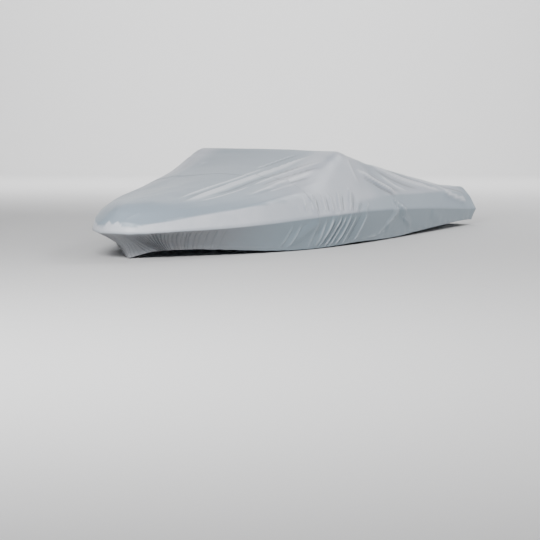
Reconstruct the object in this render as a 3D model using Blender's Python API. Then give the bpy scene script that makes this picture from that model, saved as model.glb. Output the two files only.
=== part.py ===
"""Boat cover: a fitted cover of coated cloth, in the form in which it hangs in use.

Two sewn panels, each one closed sheet: a bow panel, and a main panel that meets it at a cross seam ahead
of the ridge. Lengths are in metres. Stations are measured aft of the bow's tip and heights above the
lowest point of the hem. place() then moves the cover to its own frame: +X aft, +Y starboard, +Z up, with
the origin on the underside of the cloth at the middle of the ridge.
"""
import bmesh
import bpy
import numpy as np

sheet_thickness = 0.003
seam_gap = 0.0005

# The cross ridge, where the cloth is highest
ridge_station = 2.53
ridge_height = 0.8298
lean_to_starboard = 0.03   # how much higher, of its height over the rim, a point 1 m to starboard stands

# The seam between the panels: distance along the rim from the bow, and how far it lies askew
seam_along = 1.93
seam_askew = 0.12
seam_askew_reach = 0.6

# A rib runs from the middle of the cover over the hip and the shoulder crease to the rim, the crease at
# its outline, and down the skirt to the hem. A share is a part of the way from the middle to the rim. The
# last five rows go round the stern.
rib_columns = ("rim_x", "rim_y", "rim_z", "middle_x", "hip_share", "hip_z", "hip_round",
               "shoulder_share", "shoulder_z", "hem_x", "hem_y", "hem_z")
ribs = (
    (0.060, 0.000, 0.213, 0.40, 0.60, 0.452, 0.18, 0.95, 0.300, 0.285, 0.000, 0.000),
    (0.085, 0.110, 0.210, 0.43, 0.60, 0.455, 0.18, 0.95, 0.300, 0.298, 0.020, 0.004),
    (0.155, 0.230, 0.212, 0.47, 0.60, 0.458, 0.18, 0.95, 0.300, 0.335, 0.065, 0.020),
    (0.280, 0.345, 0.217, 0.52, 0.61, 0.462, 0.18, 0.95, 0.303, 0.410, 0.150, 0.046),
    (0.480, 0.475, 0.223, 0.61, 0.64, 0.466, 0.16, 0.95, 0.315, 0.575, 0.300, 0.056),
    (0.780, 0.630, 0.230, 0.84, 0.66, 0.480, 0.16, 0.94, 0.362, 0.845, 0.500, 0.045),
    (1.150, 0.775, 0.246, 1.16, 0.68, 0.508, 0.16, 0.93, 0.415, 1.185, 0.690, 0.018),
    (1.600, 0.902, 0.269, 1.60, 0.70, 0.584, 0.14, 0.88, 0.470, 1.610, 0.862, 0.002),
    (2.050, 0.978, 0.284, 2.05, 0.74, 0.665, 0.12, 0.90, 0.450, 2.055, 0.955, 0.007),
    (2.350, 1.005, 0.287, 2.35, 0.75, 0.760, 0.06, 0.93, 0.420, 2.352, 0.987, 0.014),
    (2.530, 1.014, 0.286, 2.53, 0.755, 0.820, 0.045, 0.94, 0.412, 2.531, 0.998, 0.014),
    (2.720, 1.019, 0.283, 2.72, 0.75, 0.788, 0.06, 0.94, 0.410, 2.720, 1.004, 0.010),
    (3.150, 1.022, 0.272, 3.15, 0.75, 0.705, 0.09, 0.95, 0.407, 3.150, 1.007, 0.007),
    (3.700, 1.019, 0.250, 3.70, 0.75, 0.617, 0.10, 0.95, 0.398, 3.700, 1.004, 0.025),
    (4.250, 1.014, 0.223, 4.25, 0.76, 0.532, 0.11, 0.95, 0.388, 4.250, 0.999, 0.043),
    (4.750, 1.011, 0.193, 4.60, 0.80, 0.452, 0.12, 0.94, 0.375, 4.748, 0.993, 0.057),
    (5.120, 1.006, 0.172, 4.66, 0.86, 0.422, 0.14, 0.97, 0.335, 5.113, 0.984, 0.058),
    (5.275, 0.985, 0.164, 4.69, 0.88, 0.416, 0.14, 0.98, 0.305, 5.255, 0.960, 0.052),
    (5.325, 0.915, 0.163, 4.71, 0.84, 0.416, 0.14, 0.98, 0.305, 5.293, 0.895, 0.050),
    (5.335, 0.500, 0.163, 4.74, 0.80, 0.416, 0.14, 0.98, 0.305, 5.300, 0.490, 0.050),
    (5.340, 0.000, 0.163, 4.78, 0.80, 0.416, 0.14, 0.98, 0.305, 5.305, 0.000, 0.050),
)

# Height of the cloth along its middle
middle_columns = ("station", "height")
middle = (
    (0.40, 0.472), (0.55, 0.490), (0.90, 0.528), (1.30, 0.578), (1.70, 0.640), (2.05, 0.705),
    (2.35, 0.783), (2.47, 0.818), (2.53, 0.830), (2.60, 0.823), (2.72, 0.802), (3.15, 0.730),
    (3.70, 0.640), (4.25, 0.545), (4.78, 0.447),
)

# Folds on the top, seen from above: the start, a point half way and the end, each as station and
# offset to starboard, then the fold's width and height. A negative height is a valley.
top_fold_columns = ("x0", "y0", "x1", "y1", "x2", "y2", "width", "height")
top_folds = (
    (0.55, -0.27, 1.50, -0.24, 2.47, -0.55, 0.15, 0.015),
    (0.75, -0.31, 1.60, -0.34, 2.46, -0.63, 0.11, -0.013),
    (0.60, -0.37, 1.50, -0.45, 2.40, -0.67, 0.14, 0.015),
    (1.20, -0.50, 1.80, -0.54, 2.36, -0.70, 0.10, -0.011),
    (1.25, -0.58, 1.85, -0.66, 2.35, -0.73, 0.12, 0.011),
    (1.10, 0.42, 1.75, 0.44, 2.40, 0.60, 0.16, 0.010),
    (2.72, 0.30, 3.50, 0.10, 4.50, 0.02, 0.20, 0.014),
    (2.70, -0.20, 3.40, -0.28, 4.40, -0.42, 0.18, 0.013),
    (2.70, 0.55, 3.40, 0.50, 4.50, 0.58, 0.18, -0.011),
    (0.48, 0.10, 0.85, 0.02, 1.40, -0.04, 0.18, -0.008),
)

# Folds on the port side, seen from the side: the start and the end, each as distance along the rim from
# the bow and height, then the width and height. The starboard side has like ones, set otherwise.
side_fold_columns = ("along0", "z0", "along1", "z1", "width", "height")
side_folds = (
    (0.16, 0.20, 0.30, 0.01, 0.10, 0.015),
    (0.29, 0.20, 0.43, 0.03, 0.10, 0.017),
    (0.44, 0.21, 0.54, 0.04, 0.10, 0.015),
    (0.58, 0.21, 0.66, 0.04, 0.10, 0.014),
    (0.74, 0.21, 0.80, 0.04, 0.11, 0.010),
    (2.08, 0.24, 1.62, 0.04, 0.13, 0.014),
    (2.37, 0.28, 1.98, 0.02, 0.13, 0.017),
    (2.56, 0.28, 2.26, 0.02, 0.12, 0.014),
    (2.80, 0.28, 2.58, 0.03, 0.12, 0.014),
    (2.02, 0.28, 2.10, 0.42, 0.11, 0.011),
    (2.28, 0.29, 2.36, 0.44, 0.11, 0.013),
    (2.53, 0.29, 2.67, 0.45, 0.11, 0.015),
    (2.80, 0.66, 2.94, 0.50, 0.14, 0.014),
    (3.02, 0.66, 3.55, 0.40, 0.13, 0.021),
    (3.20, 0.68, 3.95, 0.46, 0.12, -0.015),
    (3.40, 0.66, 4.50, 0.42, 0.13, 0.020),
    (3.72, 0.62, 4.85, 0.42, 0.12, 0.015),
    (4.66, 0.40, 5.30, 0.26, 0.16, 0.020),
    (3.50, 0.31, 3.70, 0.20, 0.12, 0.013),
    (3.50, 0.31, 3.28, 0.08, 0.13, 0.015),
    (3.50, 0.31, 3.86, 0.10, 0.15, 0.014),
    (4.30, 0.20, 4.60, 0.08, 0.16, 0.008),
)
starboard_shift = 0.14
starboard_depth = 0.8
smooth_at_middle = 0.12   # no side fold lies this near the bow's tip or the middle of the stern
fold_fade = 0.2           # part of a fold's length over which it rises at each end

# How the corners of a section are rounded, and the step used to find the slope of a surface
corner_samples = 13
rounding_near_rim = 0.5
probe = 0.001

same_point = 0.00001          # corners nearer than this are one, where the two sides of a sheet meet
sharp_angle = np.radians(50)  # steeper bends are shaded as creases

# Where the grid's points lie on a rib, as shares from the middle (0) to the rim (1) and the hem (2)
rib_shares = (0.0, 0.1, 0.19, 0.27, 0.34, 0.41, 0.48, 0.55, 0.62, 0.69, 0.76, 0.83, 0.895, 0.95, 1.0,
              1.18, 1.38, 1.6, 1.8, 2.0)

cloth_colour = (0.395, 0.435, 0.475)
cloth_roughness = 0.48


def column(rows, names, name):
    """One named column of a table, as an array."""
    return np.array([row[names.index(name)] for row in rows])


def smooth_through(place, places, values, end_slope=None):
    """A smooth curve through the points of a table: cubic pieces that share a slope at each row."""
    step = np.diff(places)
    slope = np.diff(values) / step
    inner = (slope[:-1] * step[1:] + slope[1:] * step[:-1]) / (step[:-1] + step[1:])
    ends = (slope[:1], slope[-1:]) if end_slope is None else ([end_slope], [end_slope])
    tangent = np.concatenate([ends[0], inner, ends[1]])
    row = np.clip(np.searchsorted(places, place, side="right") - 1, 0, len(places) - 2)
    t = (place - places[row]) / step[row]
    rise = values[row] * (1 + 2 * t) * (1 - t) ** 2 + values[row + 1] * t * t * (3 - 2 * t)
    return rise + step[row] * (tangent[row] * t * (1 - t) ** 2 + tangent[row + 1] * t * t * (t - 1))


rim_rows = np.stack([column(ribs, rib_columns, "rim_x"), column(ribs, rib_columns, "rim_y")], 1)
rim_steps = np.linalg.norm(np.diff(rim_rows, axis=0), axis=1)
rim_places = np.concatenate([[0.0], np.cumsum(rim_steps)])
rim_length = rim_places[-1]

# Where the ribs of each panel's grid stand: from and to along the rim, and the steps between
ridge_along = np.interp(ridge_station, column(ribs, rib_columns, "rim_x"), rim_places)
bow_spans = ((0.0, 0.9, 17), (0.9, seam_along - seam_gap / 2, 12))
main_spans = ((seam_along + seam_gap / 2, ridge_along - 0.12, 9), (ridge_along - 0.12, ridge_along + 0.12, 4),
              (ridge_along + 0.12, 5.0, 20), (5.0, 5.75, 12), (5.75, rim_length, 7))


def along_rim(name, along):
    """A column of the rib table at any distance along the rim. What lies across crosses the middle
    at a slope, and the rest is level there, as the two sides mirror each other."""
    end_slope = None if name in ("rim_y", "hem_y") else 0.0
    return smooth_through(along, rim_places, column(ribs, rib_columns, name), end_slope)


def section_height(share, row, middle_z):
    """Height of the bare section at a share of the way to the rim: straight from point to point."""
    to_hip = middle_z + (row["hip_z"] - middle_z) * share / row["hip_share"]
    past_hip = (share - row["hip_share"]) / (row["shoulder_share"] - row["hip_share"])
    past_shoulder = (share - row["shoulder_share"]) / (1 - row["shoulder_share"])
    to_shoulder = row["hip_z"] + (row["shoulder_z"] - row["hip_z"]) * past_hip
    to_rim = row["shoulder_z"] + (row["rim_z"] - row["shoulder_z"]) * past_shoulder
    below_hip = np.where(share < row["shoulder_share"], to_shoulder, to_rim)
    return np.where(share < row["hip_share"], to_hip, below_hip)


def distance_from_bow(along):
    """Past the bow's tip or the middle of the stern, a rib is the one before it on the other side."""
    return rim_length - np.abs(rim_length - np.abs(along))


def taut_cloth(along, share):
    """Points of the unfolded cloth. The section's corners are rounded by an average over near shares."""
    around = distance_from_bow(along)
    other_side = (along < 0) | (along > rim_length)
    side = np.where((share < 0) != other_side, -1.0, 1.0)
    row = {name: along_rim(name, around) for name in rib_columns}
    to_rim = np.minimum(np.abs(share), 1.0)
    below = np.maximum(np.abs(share) - 1.0, 0.0)
    middle_z = smooth_through(row["middle_x"], column(middle, middle_columns, "station"),
                              column(middle, middle_columns, "height"))
    reach = np.minimum(row["hip_round"], rounding_near_rim * (1 - to_rim))
    height = 0
    weight_sum = 0
    for offset in np.linspace(-1, 1, corner_samples + 2)[1:-1]:
        weight = 1 - offset ** 2
        height = height + weight * section_height(np.abs(to_rim + offset * reach), row, middle_z)
        weight_sum += weight
    height = height / weight_sum
    x = row["middle_x"] + (row["rim_x"] - row["middle_x"]) * to_rim
    y = row["rim_y"] * to_rim
    height = height + lean_to_starboard * side * y * (height - row["rim_z"])
    x = x + (row["hem_x"] - row["rim_x"]) * below
    y = y + (row["hem_y"] - row["rim_y"]) * below
    height = height + (row["hem_z"] - row["rim_z"]) * below
    return np.stack([x, side * y, height], -1)


def surface_normals(surface, along, share):
    """Outward unit normals, from points a little further along and across."""
    off_end = np.where(np.abs(share) < probe, np.clip(along, probe, rim_length - probe), along)
    run = surface(off_end + probe, share) - surface(off_end - probe, share)
    across = surface(off_end, share + probe) - surface(off_end, share - probe)
    normal = np.cross(run, across)
    return normal / np.linalg.norm(normal, axis=-1, keepdims=True)


def fade_in(distance, length):
    """0 at the start and 1 past the length, level at both."""
    part = np.clip(distance / length, 0, 1)
    return part * part * (3 - 2 * part)


def bump(fold, distance, part):
    """A fold's height: (1 - u^2)^2 across its width, fading out towards the ends of its length."""
    u = np.clip(distance / (fold["width"] / 2), -1, 1)
    return fold["height"] * (1 - u * u) ** 2 * fade_in(np.minimum(part, 1 - part), fold_fade)


def top_fold_height(x, y):
    """Height of the folds on the top, each along a curve through its three points."""
    total = 0
    for values in top_folds:
        fold = dict(zip(top_fold_columns, values))
        length = fold["x2"] - fold["x0"]
        part = (x - fold["x0"]) / length
        halfway = (fold["x1"] - fold["x0"]) / length
        chord_y = fold["y0"] + (fold["y2"] - fold["y0"]) * part
        halfway_y = fold["y0"] + (fold["y2"] - fold["y0"]) * halfway
        bend = (fold["y1"] - halfway_y) / (halfway * (1 - halfway))
        total = total + bump(fold, y - chord_y - bend * part * (1 - part), part)
    return total


def side_fold_height(along, z, side):
    """Height of the folds on the sides, each along a straight line on the side view."""
    own = np.where(side < 0, along, along + starboard_shift)
    total = 0
    for values in side_folds:
        fold = dict(zip(side_fold_columns, values))
        run = fold["along1"] - fold["along0"]
        drop = fold["z1"] - fold["z0"]
        length = np.hypot(run, drop)
        from_start = own - fold["along0"]
        above_start = z - fold["z0"]
        part = (from_start * run + above_start * drop) / length ** 2
        distance = (above_start * run - from_start * drop) / length
        total = total + bump(fold, distance, part)
    clear_of_middle = fade_in(np.minimum(along, rim_length - along), smooth_at_middle)
    return total * clear_of_middle * np.where(side < 0, 1.0, starboard_depth)


def folded_cloth(along, share):
    """Points of the cloth with its folds, raised square to the taut cloth."""
    point = taut_cloth(along, share)
    normal = surface_normals(taut_cloth, along, share)
    around = distance_from_bow(along)
    on_top = np.abs(share) < 1
    height = np.where(on_top, top_fold_height(point[..., 0], point[..., 1]), 0.0)
    height = height + side_fold_height(around, point[..., 2], np.sign(point[..., 1]))
    return point + normal * height[..., None]


def askew(along, share):
    """The ribs near the seam stand a little further aft to port, as the seam does."""
    nearness = np.exp(-((along - seam_along) / seam_askew_reach) ** 2)
    across = np.clip(share, -1, 1) * along_rim("rim_y", along)
    return along - seam_askew * nearness * across * fade_in(along, seam_askew_reach)


def place(points):
    """From stations and heights to the cover's own frame."""
    return points - np.array([ridge_station, 0.0, ridge_height - sheet_thickness])


def sheet(name, spans, colour):
    """A closed sheet over the given spans of ribs: outer and inner layers joined round their border."""
    along = np.concatenate([np.linspace(a, b, n + 1)[:-1] for a, b, n in spans] + [[spans[-1][1]]])
    port = -np.array(rib_shares[::-1])
    share = np.concatenate([port, np.array(rib_shares[1:])])
    grid_along, grid_share = np.meshgrid(along, share, indexing="ij")
    grid_along = askew(grid_along, grid_share)
    outer = folded_cloth(grid_along, grid_share)
    inner = outer - surface_normals(folded_cloth, grid_along, grid_share) * sheet_thickness
    rows, columns = grid_along.shape
    mesh = bpy.data.meshes.new(name)
    shell = bmesh.new()
    layers = []
    for layer in (outer, inner):
        corners = place(layer).reshape(-1, 3)
        layers.append([shell.verts.new(corner) for corner in corners])
    seam_row = rows - 1 if spans[0][0] == 0.0 else 0
    for layer in layers:
        for k in range(rows - 1):
            for j in range(columns - 1):
                at = k * columns + j
                shell.faces.new([layer[at], layer[at + columns], layer[at + columns + 1], layer[at + 1]])
    border = [(seam_row * columns + j, seam_row * columns + j + 1) for j in range(columns - 1)]
    for hem in (0, columns - 1):
        border += [(k * columns + hem, (k + 1) * columns + hem) for k in range(rows - 1)]
    for a, b in border:
        shell.faces.new([layers[0][a], layers[0][b], layers[1][b], layers[1][a]])
    bmesh.ops.remove_doubles(shell, verts=shell.verts, dist=same_point)
    bmesh.ops.triangulate(shell, faces=shell.faces)
    bmesh.ops.recalc_face_normals(shell, faces=shell.faces)
    if shell.calc_volume(signed=True) < 0:
        bmesh.ops.reverse_faces(shell, faces=shell.faces)
    shell.to_mesh(mesh)
    shell.free()
    mesh.shade_smooth()
    mesh.set_sharp_from_angle(angle=sharp_angle)
    mesh.materials.append(cloth_material(name + "_cloth", colour))
    panel = bpy.data.objects.new(name, mesh)
    bpy.context.scene.collection.objects.link(panel)
    return panel


def cloth_material(name, colour):
    """Coated woven polyester, slightly glossy."""
    material = bpy.data.materials.new(name)
    material.use_nodes = True
    shader = material.node_tree.nodes["Principled BSDF"]
    shader.inputs["Base Color"].default_value = (*colour, 1.0)
    shader.inputs["Roughness"].default_value = cloth_roughness
    shader.inputs["Metallic"].default_value = 0.0
    return material


def clear_scene():
    for thing in list(bpy.data.objects):
        bpy.data.objects.remove(thing, do_unlink=True)


clear_scene()
sheet("bow_panel", bow_spans, cloth_colour)
sheet("main_panel", main_spans, cloth_colour)
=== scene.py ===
import math
import bpy
import numpy as np
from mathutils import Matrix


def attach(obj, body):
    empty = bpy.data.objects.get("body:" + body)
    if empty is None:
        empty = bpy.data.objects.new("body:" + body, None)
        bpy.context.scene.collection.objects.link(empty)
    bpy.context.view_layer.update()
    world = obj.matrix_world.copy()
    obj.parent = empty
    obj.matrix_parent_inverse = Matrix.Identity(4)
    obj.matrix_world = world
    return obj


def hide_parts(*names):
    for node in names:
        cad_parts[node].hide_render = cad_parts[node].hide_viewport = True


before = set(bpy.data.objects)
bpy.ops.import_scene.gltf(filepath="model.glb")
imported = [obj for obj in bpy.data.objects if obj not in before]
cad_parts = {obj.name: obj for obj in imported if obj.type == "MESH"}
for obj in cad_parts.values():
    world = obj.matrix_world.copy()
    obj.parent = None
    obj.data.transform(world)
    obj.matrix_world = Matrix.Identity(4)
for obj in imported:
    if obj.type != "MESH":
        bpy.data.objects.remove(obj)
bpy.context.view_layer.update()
print("frame loaded: nodes", sorted(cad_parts))

# The cut of the cover: stations aft of the bow's tip, heights over the lowest hem, metres
coverForm = {
    "ridge": (2.53, 0.0, 0.8268),      # the cover's origin in these measures
    "lean": 0.03,                      # extra height a metre to starboard, as a share of that over the rim
    "hollow": 0.25, "hollowFrom": 0.35, "hollowFade": 0.9,     # how the skirt draws in under the bow
    "seamAlong": 1.93, "seamAskew": 0.12, "seamReach": 0.6,
    "rimReach": 0.28, "innerReach": 1.35, "innerFrom": 0.86,   # how the rounding shrinks towards the rim
    "roundSteps": 15,
    "columns": ("rimX", "rimY", "rimZ", "middleX", "hipShare", "hipZ", "hipRound",
                "shoulderShare", "shoulderZ", "hemX", "hemY", "hemZ"),
    "ribs": (                          # from the middle over hip and shoulder to the rim, then down to the hem
        (0.060, 0.000, 0.213, 0.40, 0.60, 0.424, 0.30, 0.95, 0.292, 0.285, 0.000, 0.000),
        (0.085, 0.110, 0.210, 0.43, 0.60, 0.426, 0.30, 0.95, 0.296, 0.298, 0.020, 0.004),
        (0.155, 0.230, 0.212, 0.47, 0.60, 0.430, 0.30, 0.95, 0.280, 0.335, 0.065, 0.020),
        (0.280, 0.345, 0.217, 0.52, 0.61, 0.436, 0.30, 0.95, 0.294, 0.410, 0.150, 0.046),
        (0.480, 0.475, 0.223, 0.61, 0.64, 0.436, 0.28, 0.95, 0.315, 0.575, 0.300, 0.056),
        (0.780, 0.630, 0.230, 0.84, 0.66, 0.448, 0.24, 0.94, 0.362, 0.845, 0.500, 0.045),
        (1.150, 0.775, 0.246, 1.16, 0.68, 0.484, 0.22, 0.93, 0.415, 1.185, 0.690, 0.018),
        (1.600, 0.902, 0.269, 1.60, 0.70, 0.566, 0.18, 0.88, 0.470, 1.610, 0.862, 0.002),
        (2.050, 0.978, 0.284, 2.05, 0.74, 0.664, 0.14, 0.90, 0.450, 2.055, 0.955, 0.007),
        (2.350, 1.005, 0.287, 2.35, 0.75, 0.764, 0.10, 0.93, 0.420, 2.352, 0.987, 0.014),
        (2.530, 1.014, 0.286, 2.53, 0.755, 0.823, 0.10, 0.94, 0.412, 2.531, 0.998, 0.014),
        (2.720, 1.019, 0.283, 2.72, 0.75, 0.788, 0.09, 0.94, 0.410, 2.720, 1.004, 0.010),
        (3.150, 1.022, 0.272, 3.15, 0.75, 0.697, 0.09, 0.95, 0.407, 3.150, 1.007, 0.007),
        (3.700, 1.019, 0.250, 3.70, 0.75, 0.602, 0.10, 0.95, 0.398, 3.700, 1.004, 0.025),
        (4.250, 1.014, 0.223, 4.25, 0.76, 0.522, 0.11, 0.95, 0.388, 4.250, 0.999, 0.043),
        (4.750, 1.011, 0.193, 4.60, 0.80, 0.450, 0.12, 0.94, 0.375, 4.748, 0.993, 0.057),
        (5.125, 1.009, 0.172, 4.66, 0.85, 0.420, 0.14, 0.95, 0.335, 5.113, 0.984, 0.058),
        (5.300, 1.000, 0.164, 4.69, 0.86, 0.412, 0.14, 0.945, 0.300, 5.257, 0.962, 0.052),
        (5.352, 0.925, 0.163, 4.71, 0.83, 0.412, 0.14, 0.945, 0.300, 5.297, 0.897, 0.050),
        (5.362, 0.500, 0.163, 4.74, 0.80, 0.412, 0.14, 0.945, 0.300, 5.303, 0.490, 0.050),
        (5.366, 0.000, 0.163, 4.78, 0.80, 0.412, 0.14, 0.945, 0.300, 5.308, 0.000, 0.050),
    ),
    "middle": (                        # station and height down the middle
        (0.40, 0.460), (0.55, 0.480), (0.90, 0.524), (1.30, 0.578), (1.70, 0.640), (2.05, 0.705),
        (2.35, 0.783), (2.47, 0.818), (2.53, 0.830), (2.60, 0.823), (2.72, 0.802), (3.15, 0.730),
        (3.70, 0.640), (4.25, 0.545), (4.78, 0.447),
    ),
}

# Broad folds, as cut in the solid: x0, y0, x1, y1, x2, y2, width, height on the top, seen from above
broadTop = (
    (1.10, 0.42, 1.75, 0.44, 2.40, 0.60, 0.16, 0.010),
    (2.72, 0.30, 3.50, 0.10, 4.50, 0.02, 0.20, 0.012),
    (2.70, -0.20, 3.40, -0.28, 4.40, -0.42, 0.18, 0.011),
    (2.70, 0.55, 3.40, 0.50, 4.50, 0.58, 0.18, -0.009),
    (0.48, 0.10, 0.85, 0.02, 1.40, -0.04, 0.18, -0.006),
)

# Broad folds on the sides: along, z at both ends, width, height; along is measured round the rim
broadSide = (
    (0.10, 0.21, 0.42, 0.03, 0.10, 0.007),
    (0.24, 0.21, 0.53, 0.03, 0.10, 0.008),
    (0.42, 0.21, 0.60, 0.04, 0.10, 0.008),
    (0.60, 0.21, 0.67, 0.04, 0.11, 0.007),
    (2.08, 0.24, 1.62, 0.04, 0.13, 0.012),
    (2.37, 0.28, 1.98, 0.02, 0.13, 0.013),
    (2.60, 0.28, 2.32, 0.02, 0.12, 0.010),
    (2.84, 0.28, 2.60, 0.03, 0.12, 0.010),
    (2.00, 0.28, 2.06, 0.44, 0.11, 0.008),
    (2.24, 0.29, 2.34, 0.45, 0.11, 0.009),
    (2.53, 0.29, 2.70, 0.47, 0.11, 0.010),
    (3.02, 0.66, 3.55, 0.40, 0.13, 0.014),
    (3.20, 0.66, 3.80, 0.43, 0.12, -0.011),
    (3.40, 0.68, 4.50, 0.40, 0.13, 0.014),
    (3.72, 0.62, 4.85, 0.42, 0.12, 0.010),
    (4.66, 0.40, 5.34, 0.26, 0.15, 0.016),
    (3.50, 0.31, 3.70, 0.22, 0.12, 0.010),
    (3.50, 0.27, 3.22, 0.08, 0.13, 0.010),
    (3.52, 0.28, 3.82, 0.08, 0.15, 0.010),
    (4.30, 0.20, 4.60, 0.08, 0.16, 0.007),
)

# Streaks from the bow to the ridge's port end: height, how far the crest takes the painted highlight (or the
# hollow the painted shade), width of the steep starboard flank and of the easy port flank; then the crest's
# stations and offsets to starboard
streaks = (
    (0.0125, 1.6, 0.018, 0.046,
     ((0.55, -0.228), (0.80, -0.222), (1.15, -0.214), (1.45, -0.236), (1.85, -0.268), (2.10, -0.310))),
    (-0.0040, -0.8, 0.016, 0.022,
     ((0.62, -0.245), (0.98, -0.256), (1.22, -0.263), (1.43, -0.283), (1.63, -0.307), (1.85, -0.330))),
    (0.0220, 2.2, 0.026, 0.105,
     ((0.48, -0.300), (0.77, -0.310), (1.20, -0.305), (1.60, -0.338), (1.97, -0.395), (2.25, -0.470),
      (2.50, -0.600))),
    (-0.0050, -1.0, 0.016, 0.024,
     ((0.80, -0.350), (1.21, -0.391), (1.61, -0.426), (1.90, -0.487), (2.12, -0.566), (2.34, -0.700))),
    (0.0055, 1.3, 0.014, 0.028, ((0.70, -0.372), (0.90, -0.410), (1.15, -0.440), (1.45, -0.470))),
    (0.0125, 1.7, 0.018, 0.046,
     ((1.35, -0.470), (1.65, -0.500), (1.90, -0.545), (2.12, -0.625), (2.32, -0.725))),
    (-0.0045, -0.9, 0.016, 0.022,
     ((1.40, -0.535), (1.66, -0.560), (1.88, -0.610), (2.10, -0.685), (2.24, -0.750))),
    (0.0150, 1.8, 0.020, 0.050,
     ((1.12, -0.550), (1.40, -0.600), (1.65, -0.625), (1.90, -0.665), (2.20, -0.735))),
    (-0.0045, -0.9, 0.014, 0.022,
     ((1.20, -0.592), (1.42, -0.632), (1.60, -0.652), (1.88, -0.700), (2.05, -0.730))),
    (0.0060, 1.0, 0.014, 0.036, ((1.36, -0.642), (1.59, -0.674), (1.80, -0.712))),
    (0.0065, 1.5, 0.014, 0.026, ((1.90, -0.215), (2.08, -0.245), (2.24, -0.300), (2.42, -0.390))),
    (-0.0040, -0.8, 0.014, 0.022, ((1.94, -0.240), (2.08, -0.270), (2.24, -0.330), (2.42, -0.425))),
    (0.0035, 0.5, 0.010, 0.022, ((0.30, -0.315), (0.38, -0.370), (0.48, -0.420))),
    (0.0030, 0.4, 0.012, 0.030, ((0.10, -0.080), (0.16, -0.120), (0.24, -0.170))),
)

# Narrow folds: p0, q0, p1, q1, sideways bow at half way, width, height, shift of the crest (-1 to 1).
# On the top p and q are station and offset to starboard, on the sides distance along the rim and height.
narrowTop = (
    (1.95, 0.47, 2.16, 0.41, 0.005, 0.040, 0.0045, 0.0),       # short marks on the starboard slope
    (1.70, 0.62, 2.34, 0.68, -0.010, 0.060, 0.0055, 0.0),
    (1.20, 0.30, 2.36, 0.52, -0.030, 0.070, 0.0050, -0.4),
    (1.35, 0.50, 2.40, 0.66, -0.020, 0.060, -0.0040, 0.0),
    (2.62, -0.52, 3.60, -0.55, 0.030, 0.060, 0.0045, 0.2),     # pulls running aft from the ridge
    (2.66, -0.64, 4.10, -0.45, 0.035, 0.130, -0.0052, 0.0),
    (2.64, -0.62, 3.20, -0.70, 0.020, 0.043, 0.0088, 0.0),
    (2.60, -0.08, 3.90, -0.20, 0.020, 0.068, 0.0081, 0.3),
    (2.62, 0.42, 4.10, 0.34, -0.030, 0.064, 0.0088, -0.3),
    (2.66, 0.62, 3.70, 0.60, 0.020, 0.060, 0.0100, -0.3),
    (2.64, -0.36, 4.60, -0.50, -0.020, 0.060, -0.0075, 0.0),
    (2.70, 0.00, 4.70, 0.20, 0.040, 0.076, -0.0063, 0.0),
    (3.60, -0.30, 4.72, -0.20, 0.030, 0.076, 0.0075, 0.0),
    (3.70, 0.46, 4.74, 0.62, 0.020, 0.072, 0.0075, 0.0),
    (4.20, -0.08, 4.76, -0.12, 0.000, 0.080, 0.0040, 0.0),
)
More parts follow.
